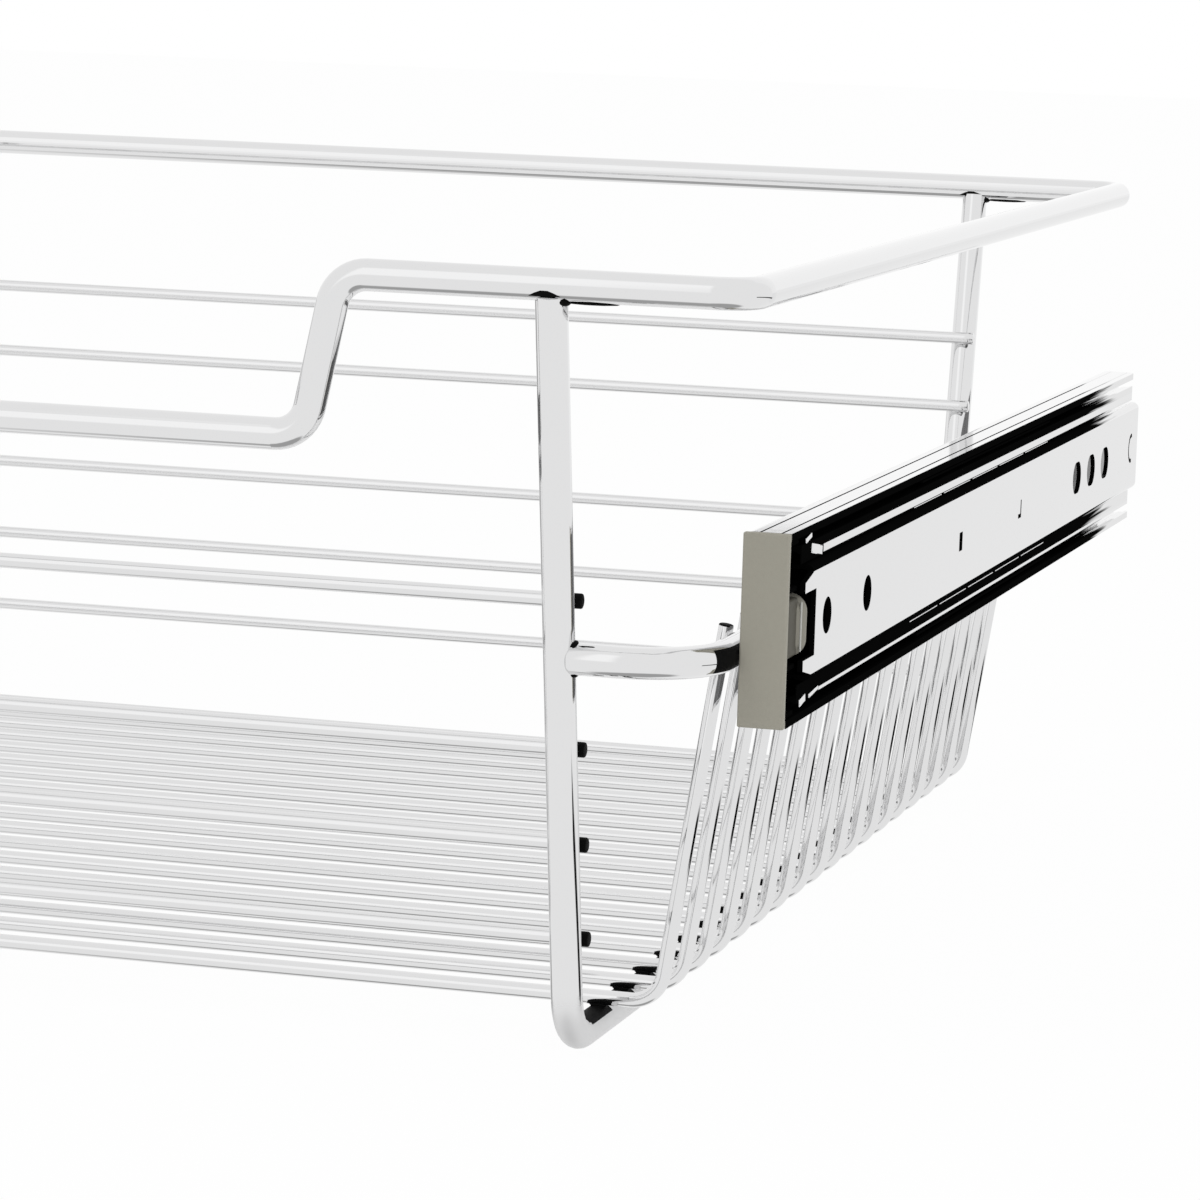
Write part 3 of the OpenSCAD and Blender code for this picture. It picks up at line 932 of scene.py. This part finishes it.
@dataclass
class Slides:
    """The two ball-bearing slides. Sizes are in millimetres. A place is a distance from the front end."""

    back_x: float = 292.1
    front_y: float = -205.475
    centre_z: float = 103.65
    length: float = 450.0
    sheet: float = 1.3
    groove_radius: float = 1.95
    outer_ball: tuple[float, float] = (6.544, 19.85)
    inner_ball: tuple[float, float] = (8.1, 15.35)
    # How far a web's painted shade stays inside the flanges of the member in front of it
    web_margin: float = 0.7
    # Basket channel
    half_height: float = 22.75
    channel_depth: float = 11.1
    channel_corner: float = 1.9
    channel_rear_corner: float = 3.5
    lip_width: float = 1.0
    lip_height: float = 0.6
    rolled_lines: tuple[float, float] = (3.7, 8.8)
    rolled_line_ahead: float = 0.3
    rolled_line_behind: float = 0.25
    rolled_line_depth: float = 0.16
    # Intermediate member: in painted shade, its flange ends swell and turn in, and their bright strips,
    # painted glints, are spans of height
    middle_start: float = 14.0
    middle_end_gap: float = 1.0
    middle_back: float = 2.8
    middle_half: float = 18.25
    middle_corner: float = 1.7
    flange_end: float = 10.6
    swell: float = 0.35
    swell_width: float = 0.7
    swell_ramp: float = 0.4
    turned_in: float = 0.25
    strips: tuple[tuple[float, float], ...] = ((14.65, 16.5), (-18.45, -17.65))
    strip_start: float = 36.0
    # Dashes of bright plating, more painted glints, broken at even steps along the member
    dashes: tuple[tuple[float, float], ...] = ((14.2, 14.42), (-15.17, -14.95))
    dash_start: float = 133.0
    dash_count: int = 5
    dash_pitch: float = 36.0
    dash_gap: float = 1.6
    tabs: tuple[StopTab, ...] = (
        StopTab(28.5, 1, -2.1, -9, 10.5, 2.4), StopTab(20.0, 1, 1.5, 9, 5.5, 1.3),
        StopTab(30.0, -1, 0.3, 5, 9.0, 1.1), StopTab(19.0, -1, -0.2, 8, 5.5, 1.9))
    tab_thickness: float = 0.5
    tab_out: float = 0.1
    tab_bevel: float = 0.2
    # Cabinet member
    cabinet_face: float = 12.7
    cabinet_face_depth: float = 0.9
    cabinet_half: float = 13.75
    cabinet_rear_corner: float = 2.6
    cabinet_flange: float = 2.3
    # Front cap
    cap_thickness: float = 2.0
    cap_gap: float = 0.02
    cap_bevel: float = 0.45
    tongue: tuple[float, float, float] = (9.2, 9.5, 1.2)
    tongue_at: tuple[float, float] = (6.0, 6.25)
    tongue_heights: tuple[float, ...] = (20.1, 9.1, -9.1, -20.1)
    tongue_bevel: float = 0.2
    # Bumper
    bumper_half: float = 7.5
    bumper_end: float = 18.0
    bumper_face: float = 12.4
    roll_radius: float = 4.3
    core_back: float = 1.35
    core_depth: float = 9.45
    core_inset: float = 0.6
    core_end_gap: float = 1.5
    core_bevel: float = 0.9
    # A thin light capsule along the roll: a painted highlight
    highlight_radius: float = 0.28
    highlight_half: float = 5.9
    highlight_turn: float = 34.0

    def point(self, side: Side, depth: float, place: float, height: float) -> Vector:
        """Turns a slide's own sizes into a point of the frame, in millimetres.

        Args:
            side: the side that the slide is on.
            depth: distance out from the slide's back.
            place: distance back from the slide's front end.
            height: height above the slide's centre line.

        Returns:
            The point.
        """
        return Vector((side.value * (self.back_x + depth), self.front_y + place, self.centre_z + height))

    def arc(self, centre: tuple[float, float], radius: float, start: float, end: float, steps: int,
            finish: int) -> list[Corner]:
        """Draws a round stretch of an outline.

        Args:
            centre: centre of the arc.
            radius: radius of the arc.
            start: angle of its first corner, in degrees.
            end: angle of its last corner, in degrees.
            steps: number of faces along it.
            finish: place of the finish on those faces and on the face after them.

        Returns:
            The corners.
        """
        angles = [math.radians(start + (end - start) * i / steps) for i in range(steps + 1)]
        return [(centre[0] + radius * math.cos(a), centre[1] + radius * math.sin(a), finish) for a in angles]

    def groove(self, ball: tuple[float, float], height: float) -> list[Corner]:
        """Draws a ball track rolled into the flange above the balls or below them.

        Args:
            ball: middle of the balls, as depth and height.
            height: height of the face that the track is rolled into.

        Returns:
            The corners, from the flange's end inwards if the flange is above the balls, or outwards.
        """
        middle = 90 if height > ball[1] else 270
        half = math.degrees(math.acos(abs(height - ball[1]) / self.groove_radius))
        return self.arc(ball, self.groove_radius, middle - half, middle + half, 8, DARK)

    def extrude(self, side: Side, upper: list[Corner], start: float, end: float) -> bmesh.types.BMesh:
        """Draws a section from its upper half and extrudes it along the slide.

        Args:
            side: the side that the slide is on.
            upper: corners of the upper half, from the middle of its outer face to that of its inner face.
            start: place of the section's front end.
            end: place of its rear end.

        Returns:
            The section, with bright end faces.
        """
        lower = [(u, -h, upper[max(i - 1, 0)][2]) for i, (u, h, _) in enumerate(upper)][::-1]
        outline = upper + lower
        mesh = bmesh.new()
        section = mesh.faces.new([mesh.verts.new(self.point(side, u, start, h)) for u, h, _ in outline])
        rim = section.edges[:]
        grown = bmesh.ops.extrude_face_region(mesh, geom=[section])
        far = [part for part in grown["geom"] if isinstance(part, bmesh.types.BMVert)]
        bmesh.ops.translate(mesh, vec=Y * (end - start), verts=far)
        for edge, corner in zip(rim, outline):
            for face in edge.link_faces:
                if face != section:
                    face.material_index = corner[2]
        bmesh.ops.recalc_face_normals(mesh, faces=mesh.faces)
        return mesh

    def split_web(self, mesh: bmesh.types.BMesh, height: float) -> None:
        """Splits a section's faces at one height above and below its centre line.

        Args:
            mesh: the member.
            height: distance of the two cuts from the centre line.
        """
        for way in (1, -1):
            split(mesh, Z * (self.centre_z + way * height), Z)
        mesh.normal_update()

    @staticmethod
    def trim(mesh: bmesh.types.BMesh, corner: Vector, first: Vector, second: Vector, radius: float) -> None:
        """Rounds a corner of a sheet piece with a few flat cuts.

        Args:
            mesh: the piece.
            corner: the corner to round.
            first: direction out of the piece across the corner's first side.
            second: direction out of the piece across its second side.
            radius: radius of the rounding.
        """
        centre = corner - (first + second) * radius
        for turn in (math.radians(angle) for angle in (15, 45, 75)):
            out = first * math.cos(turn) + second * math.sin(turn)
            cut_off(mesh, centre + out * radius, out)

    def place_in_section(self, face: bmesh.types.BMFace) -> tuple[float, float]:
        """Finds where a face lies in its member's section.

        Args:
            face: the face.

        Returns:
            Its middle's depth and its height from the centre line.
        """
        centre = face.calc_center_median()
        return abs(centre.x) - self.back_x, centre.z - self.centre_z

    def basket_channel(self, side: Side) -> Piece:
        """Wide member, with the backs of its ball tracks showing as rolled lines.

        Args:
            side: the side that it is on.

        Returns:
            The piece.
        """
        radius, top, inner = self.channel_corner, self.half_height, self.half_height - self.sheet
        corner, end = (radius, top - radius), self.channel_depth
        lip_back, lip_foot = end - self.lip_width, inner - self.lip_height
        upper: list[Corner] = self.arc(corner, radius, 180, 90, 8, BRIGHT)
        # Each rolled line's rear slope takes the track finish: painted shade in the crease
        for line in self.rolled_lines:
            upper += [(line - self.rolled_line_behind, top, DARK),
                      (line, top - self.rolled_line_depth, BRIGHT),
                      (line + self.rolled_line_ahead, top, BRIGHT)]
        # The lip and everything inside take the track finish: painted shade
        upper += [(end, top, DARK), (end, lip_foot, DARK),
                  (lip_back, lip_foot, DARK), (lip_back, inner, DARK)]
        upper += self.groove(self.outer_ball, inner)
        upper += self.arc(corner, radius - self.sheet, 90, 180, 4, DARK)
        mesh = self.extrude(side, upper, self.cap_thickness + self.cap_gap, self.length)
        web_half = self.middle_half - self.web_margin
        self.split_web(mesh, web_half)
        # The back is darkened plating and the web near black: both painted shade
        back, web, flat = 2, 3, 0.99
        for face in mesh.faces:
            depth, height = self.place_in_section(face)
            if depth < NEAR and abs(face.normal.x) > flat:
                face.material_index = back
            elif depth < self.sheet + NEAR and abs(height) < web_half:
                face.material_index = web
        self.trim(mesh, self.point(side, end, self.length, 0), X * side.value, Y, self.channel_rear_corner)
        return Piece(f"plated_basket_channel_{side.label}", mesh,
                     (Finish.SHEET, Finish.TRACK, Finish.BACK, Finish.WEB), "plated_slide_sheet",
                     (f"basket_channel_{side.label}",), sharp_angle=20)

    def intermediate_member(self, side: Side) -> Piece:
        """Middle member in painted shade: its flange ends show as two bright strips, painted glints, behind
        formed stop tabs.

        Args:
            side: the side that it is on.

        Returns:
            The piece.
        """
        back, end, out = self.middle_back, self.flange_end, self.middle_half
        radius, inner, foot = self.middle_corner, out - self.sheet, end - self.swell_width
        corner, ramp, lip = (back + radius, out - radius), foot - self.swell_ramp, end - self.turned_in
        levels = sorted({abs(h) for span in (*self.strips, *self.dashes) for h in span}, reverse=True)
        upper: list[Corner] = self.arc(corner, radius, 180, 90, 6, DARK)
        upper += self.groove(self.outer_ball, out)
        upper += [(ramp, out, DARK), (foot, out + self.swell, DARK), (end, out + self.swell, DARK)]
        upper += [(end, height, DARK) for height in levels]
        upper += [(lip, levels[-1], DARK), (lip, inner - self.swell, DARK),
                  (foot, inner - self.swell, DARK), (ramp, inner, DARK)]
        upper += self.groove(self.inner_ball, inner)
        upper += self.arc(corner, radius - self.sheet, 90, 180, 4, DARK)
        mesh = self.extrude(side, upper, self.middle_start, self.length - self.middle_end_gap)
        strip = self.front_y + self.strip_start
        dash_breaks = [self.front_y + self.dash_start + i * self.dash_pitch for i in range(self.dash_count + 1)]
        for cut in [strip] + [dash_break + off for dash_break in dash_breaks for off in (-self.dash_gap, self.dash_gap)]:
            split(mesh, Y * cut, Y)
        web_half = self.cabinet_half - self.web_margin
        self.split_web(mesh, web_half)
        web, flat = 2, 0.9
        for face in mesh.faces:
            y, (depth, height) = face.calc_center_median().y, self.place_in_section(face)
            on_dash = dash_breaks[0] < y < dash_breaks[-1] and all(abs(y - dash_break) > self.dash_gap for dash_break in dash_breaks)
            spans = self.strips + (self.dashes if on_dash else ())
            # Ahead of the strips, on the web and off the strips and dashes, the member is in painted shade
            if y < strip:
                face.material_index = DARK
            elif depth < back + self.sheet + NEAR and abs(height) < web_half:
                face.material_index = web
            elif face.normal.x * side.value > flat and any(low < height < high for low, high in spans):
                face.material_index = BRIGHT
        known = set(mesh.faces)
        for tab in self.tabs:
            add_block(mesh, self.point(side, end + self.tab_out, tab.place, tab.flange * out + tab.up),
                      (self.tab_thickness, tab.length, tab.height), self.tab_bevel, 2, tab.tilt)
        mark_new(mesh, known, BRIGHT)
        return Piece(f"plated_intermediate_member_{side.label}", mesh,
                     (Finish.SHEET, Finish.TRACK, Finish.WEB), "plated_slide_sheet",
                     (f"intermediate_member_{side.label}",), "intermediate_members", sharp_angle=20)

    def cad_copy(self, node: str) -> bmesh.types.BMesh:
        """Copies a CAD node's mesh in millimetres, with its loose triangles merged.

        Args:
            node: the node's name.

        Returns:
            The copy.
        """
        mesh = bmesh.new()
        mesh.from_mesh(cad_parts[node].data)
        bmesh.ops.scale(mesh, vec=(1 / MM,) * 3, verts=mesh.verts)
        bmesh.ops.remove_doubles(mesh, verts=mesh.verts, dist=0.002)
        bmesh.ops.dissolve_limit(mesh, angle_limit=math.radians(0.3), verts=mesh.verts, edges=mesh.edges)
        return mesh

    def cabinet_member(self, side: Side) -> Piece:
        """Narrow member: a bright face with its screw holes and tab cuts, in painted shade inside.

        Args:
            side: the side that it is on.

        Returns:
            The piece.
        """
        mesh = self.cad_copy(f"cabinet_member_{side.label}")
        for way in (1, -1):
            self.trim(mesh, self.point(side, 0, self.length, way * self.cabinet_half), Z * way, Y,
                      self.cabinet_rear_corner)
        mesh.normal_update()
        # Flanges, upright faces and the web take painted shade
        web, flat, upright = 2, 0.96, 0.5
        for face in mesh.faces:
            depth, height = self.place_in_section(face)
            on_flange = abs(height) > self.cabinet_half - self.cabinet_flange
            if depth > self.cabinet_face - self.cabinet_face_depth and face.normal.x * side.value > flat:
                face.material_index = BRIGHT
            elif on_flange or abs(face.normal.x) < upright:
                face.material_index = DARK
            else:
                face.material_index = web
        return Piece(f"plated_cabinet_member_{side.label}", mesh,
                     (Finish.SHEET, Finish.TRACK, Finish.WEB), "plated_slide_sheet",
                     (f"cabinet_member_{side.label}",), "cabinet_members", sharp_angle=20)

    def cage(self, side: Side, name: str) -> Piece:
        """Ball cage between two members, dark with the tracks' painted shade and grease.

        Args:
            side: the side that it is on.
            name: the cage's node, without its side.

        Returns:
            The piece.
        """
        node = f"{name}_{side.label}"
        return Piece(f"plated_{node}", self.cad_copy(node), (Finish.TRACK,), "cage_sheet", (node,),
                     f"{name}s", sharp_angle=20)

    def front_cap(self, side: Side) -> Piece:
        """Moulded cap: a plate with softened edges, on the tongues that plug into the channel.

        Args:
            side: the side that it is on.

        Returns:
            The piece.
        """
        mesh = bmesh.new()
        add_block(mesh, self.point(side, self.channel_depth / 2, self.cap_thickness / 2, 0),
                  (self.channel_depth, self.cap_thickness, 2 * self.half_height), self.cap_bevel, 3)
        known = set(mesh.faces)
        for height in self.tongue_heights:
            add_block(mesh, self.point(side, *self.tongue_at, height), self.tongue, self.tongue_bevel, 3)
        # The tongues, inside the channel, take the webs' painted shade
        mark_new(mesh, known, DARK)
        return Piece(f"moulded_front_cap_{side.label}", mesh, (Finish.CAP, Finish.WEB), "cap_plastic",
                     (f"front_cap_{side.label}",))

    def bumper(self, side: Side) -> Piece:
        """Soft bumper: a block behind the cap, darker as painted shade, that ends in an upright roll with a
        thin light capsule along it: a painted highlight.

        Args:
            side: the side that it is on.

        Returns:
            The piece.
        """
        # The core's darker finish is painted shade, and the light capsule on the roll a painted highlight
        roll, core, highlight = 0, 1, 2
        depth, place = self.bumper_face - self.roll_radius, self.bumper_end - self.roll_radius
        core_start, core_end = self.cap_thickness + self.cap_gap, place - self.core_end_gap
        mesh = bmesh.new()
        core_middle = (self.core_back + self.core_depth / 2, (core_start + core_end) / 2)
        add_block(mesh, self.point(side, *core_middle, 0),
                  (self.core_depth, core_end - core_start, 2 * (self.bumper_half - self.core_inset)),
                  self.core_bevel, 4)
        mark_new(mesh, set(), core)
        turn = math.radians(self.highlight_turn)
        highlight_at = (depth + self.roll_radius * math.cos(turn), place - self.roll_radius * math.sin(turn))
        for finish, at, radius, half in ((roll, (depth, place), self.roll_radius, self.bumper_half),
                                         (highlight, highlight_at, self.highlight_radius, self.highlight_half)):
            known = set(mesh.faces)
            middle = self.point(side, *at, 0)
            ball = bmesh.ops.create_uvsphere(mesh, u_segments=48, v_segments=24, radius=radius,
                                             matrix=Matrix.Translation(middle))
            # Its halves move apart, and its equator goes with the upper one
            for vert in ball["verts"]:
                vert.co.z += math.copysign(half - radius, vert.co.z - middle.z + 1e-4)
            mark_new(mesh, known, finish)
        return Piece(f"moulded_bumper_{side.label}", mesh,
                     (Finish.BUMPER, Finish.BUMPER_CORE_SHADE, Finish.BUMPER_HIGHLIGHT), "bumper_rubber",
                     (f"bumper_{side.label}",))

    def pieces(self) -> list[Piece]:
        """Makes every sheet piece, cap and bumper of both slides.

        Returns:
            The pieces.
        """
        makers = (self.basket_channel, self.intermediate_member, self.cabinet_member, self.front_cap,
                  self.bumper)
        made = [make(side) for make in makers for side in Side]
        return made + [self.cage(side, name) for name in ("outer_cage", "inner_cage") for side in Side]

    def dress_balls(self) -> None:
        """Gives the balls, which keep their CAD shapes, their finish."""
        for name in ("outer_balls", "inner_balls"):
            for side in Side:
                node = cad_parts[f"{name}_{side.label}"]
                node.data.materials.clear()
                node.data.materials.append(Finish.BALL.material)


# ---- The studio ----


@dataclass(frozen=True)
class Card:
    """A patch of the studio that the metal mirrors, by its direction as seen from the basket."""

    azimuth: float
    elevation: float
    half_width: float
    half_height: float
    level: float
    edge: float


@dataclass(frozen=True)
class Lamp:
    """A soft square lamp that isn't seen itself."""

    name: str
    at: tuple[float, float, float]
    watts: float
    size: float


@dataclass
class Studio:
    """Camera, lamps, floor and surroundings, in metres."""

    camera_at: tuple[float, float, float] = (0.57308, -1.31256, 0.27063)
    camera_turn: tuple[float, float, float] = (81.9662, -1.7687, 16.1138)
    lens: float = 150.31
    sensor: float = 36.0
    mirrored_level: float = 1.0
    diffuse_level: float = 0.75
    cards: tuple[Card, ...] = (
        Card(-22, 29, 11, 24, 1.17, 11),
        Card(170, 24, 30, 26, 1.05, 4),
        Card(172, -14, 30, 12, 0.95, 4),
        Card(0, -84, 190, 16, 0.42, 8),
        Card(-127, -13, 14, 14, 0.45, 6),
        Card(120, -15.8, 28, 1.8, 0.0, 1.5),
    )
    lamps: tuple[Lamp, ...] = (
        Lamp("key", (-0.9, -1.4, 1.5), 9.0, 1.2),
        Lamp("fill", (1.8, -0.6, 0.7), 4.0, 1.0),
    )
    lamps_aim: tuple[float, float, float] = (0, 0, 0.1)
    floor_half: float = 6.0
    floor_drop: float = 0.0008
    floor_color: tuple[float, float, float] = (0.9, 0.9, 0.9)
    floor_glow: float = 0.965

    def add_camera(self) -> None:
        """Makes the camera at the photo's viewpoint."""
        data = bpy.data.cameras.new("photo_camera")
        data.sensor_width = self.sensor
        data.lens = self.lens
        made = add_object("photo_camera", data)
        made.location = self.camera_at
        made.rotation_euler = [math.radians(angle) for angle in self.camera_turn]
        bpy.context.scene.camera = made

    def card_level(self, shader: Shader) -> bpy.types.NodeSocket:
        """Draws the cards on the surroundings that the metal mirrors.

        Args:
            shader: the world's node tree.

        Returns:
            The brightness in each direction.
        """
        way = shader.node("SeparateXYZ", {0: shader.node("TexCoord").outputs["Generated"]})
        x, y, z = way.outputs
        azimuth = shader.math("DEGREES", shader.math("ARCTAN2", x, shader.math("MULTIPLY", y, -1.0)))
        elevation = shader.math("DEGREES", shader.math("ARCSINE", z))
        level: object = self.mirrored_level
        for card in self.cards:
            across = shader.math("WRAP", shader.math("SUBTRACT", azimuth, card.azimuth), 180.0, -180.0)
            up = shader.math("SUBTRACT", elevation, card.elevation)
            soft = card.edge / 2
            masks = [shader.ramp(shader.math("ABSOLUTE", off), (half - soft, half + soft), (1, 0))
                     for off, half in ((across, card.half_width), (up, card.half_height))]
            level = shader.node("Mix", {0: shader.math("MULTIPLY", *masks), 2: level, 3: card.level},
                                data_type="FLOAT").outputs[0]
        return level

    def add_world(self) -> None:
        """Makes the surroundings: white to the camera, cards for the metal, soft light for the rest."""
        world = bpy.data.worlds.new("studio")
        bpy.context.scene.world = world
        world.use_nodes = True
        shader = Shader(world.node_tree)
        soft, cards, white = (
            shader.node("Background", {"Color": (1, 1, 1, 1), "Strength": level}).outputs[0]
            for level in (self.diffuse_level, self.card_level(shader), 1.0))
        rays = shader.node("LightPath").outputs
        mirrored = shader.math("MAXIMUM", rays["Is Glossy Ray"], rays["Is Transmission Ray"])
        unseen = shader.mix(mirrored, soft, cards)
        shader.node("OutputWorld", {"Surface": shader.mix(rays["Is Camera Ray"], unseen, white)})

    def add_floor(self) -> None:
        """Makes the pale floor, which shows as white and keeps a soft shadow."""
        mesh = bmesh.new()
        bmesh.ops.create_grid(mesh, x_segments=1, y_segments=1, size=self.floor_half,
                              matrix=Matrix.Translation(Z * -self.floor_drop))
        data = bpy.data.meshes.new("studio_floor")
        mesh.to_mesh(data)
        mesh.free()
        made = add_object("studio_floor", data)
        made.visible_glossy = False
        material, shader = start_material("floor_finish")
        matt = shader.node("BsdfDiffuse", {"Color": (*self.floor_color, 1)})
        glow = shader.node("Emission")
        rays = shader.node("LightPath").outputs
        seen = shader.math("MAXIMUM", rays["Is Camera Ray"], rays["Is Glossy Ray"])
        seen = shader.math("MAXIMUM", seen, rays["Is Transmission Ray"])
        mixed = shader.mix(shader.math("MULTIPLY", seen, self.floor_glow), matt.outputs[0], glow.outputs[0])
        shader.node("OutputMaterial", {"Surface": mixed})
        data.materials.append(material)

    def add_lamps(self) -> None:
        """Makes the soft key lamp over the front left and the fill at the right."""
        for lamp in self.lamps:
            data = bpy.data.lights.new(lamp.name, "AREA")
            data.energy = lamp.watts
            data.size = lamp.size
            made = add_object(lamp.name, data)
            made.location = lamp.at
            aim = Vector(self.lamps_aim) - Vector(lamp.at)
            made.rotation_euler = aim.to_track_quat("-Z", "Y").to_euler()
            made.visible_glossy = False
            made.visible_camera = False

    def build(self) -> None:
        """Makes the whole studio."""
        bpy.context.scene.view_settings.view_transform = "Standard"
        self.add_camera()
        self.add_world()
        self.add_floor()
        self.add_lamps()


def main() -> None:
    """Builds the basket, its slides and the studio."""
    logging.basicConfig(level=logging.INFO, format="%(name)s: %(message)s")
    Studio().build()
    slides = Slides()
    for piece in Basket().pieces() + slides.pieces():
        piece.place()
    slides.dress_balls()


if __name__ == "__main__":
    main()
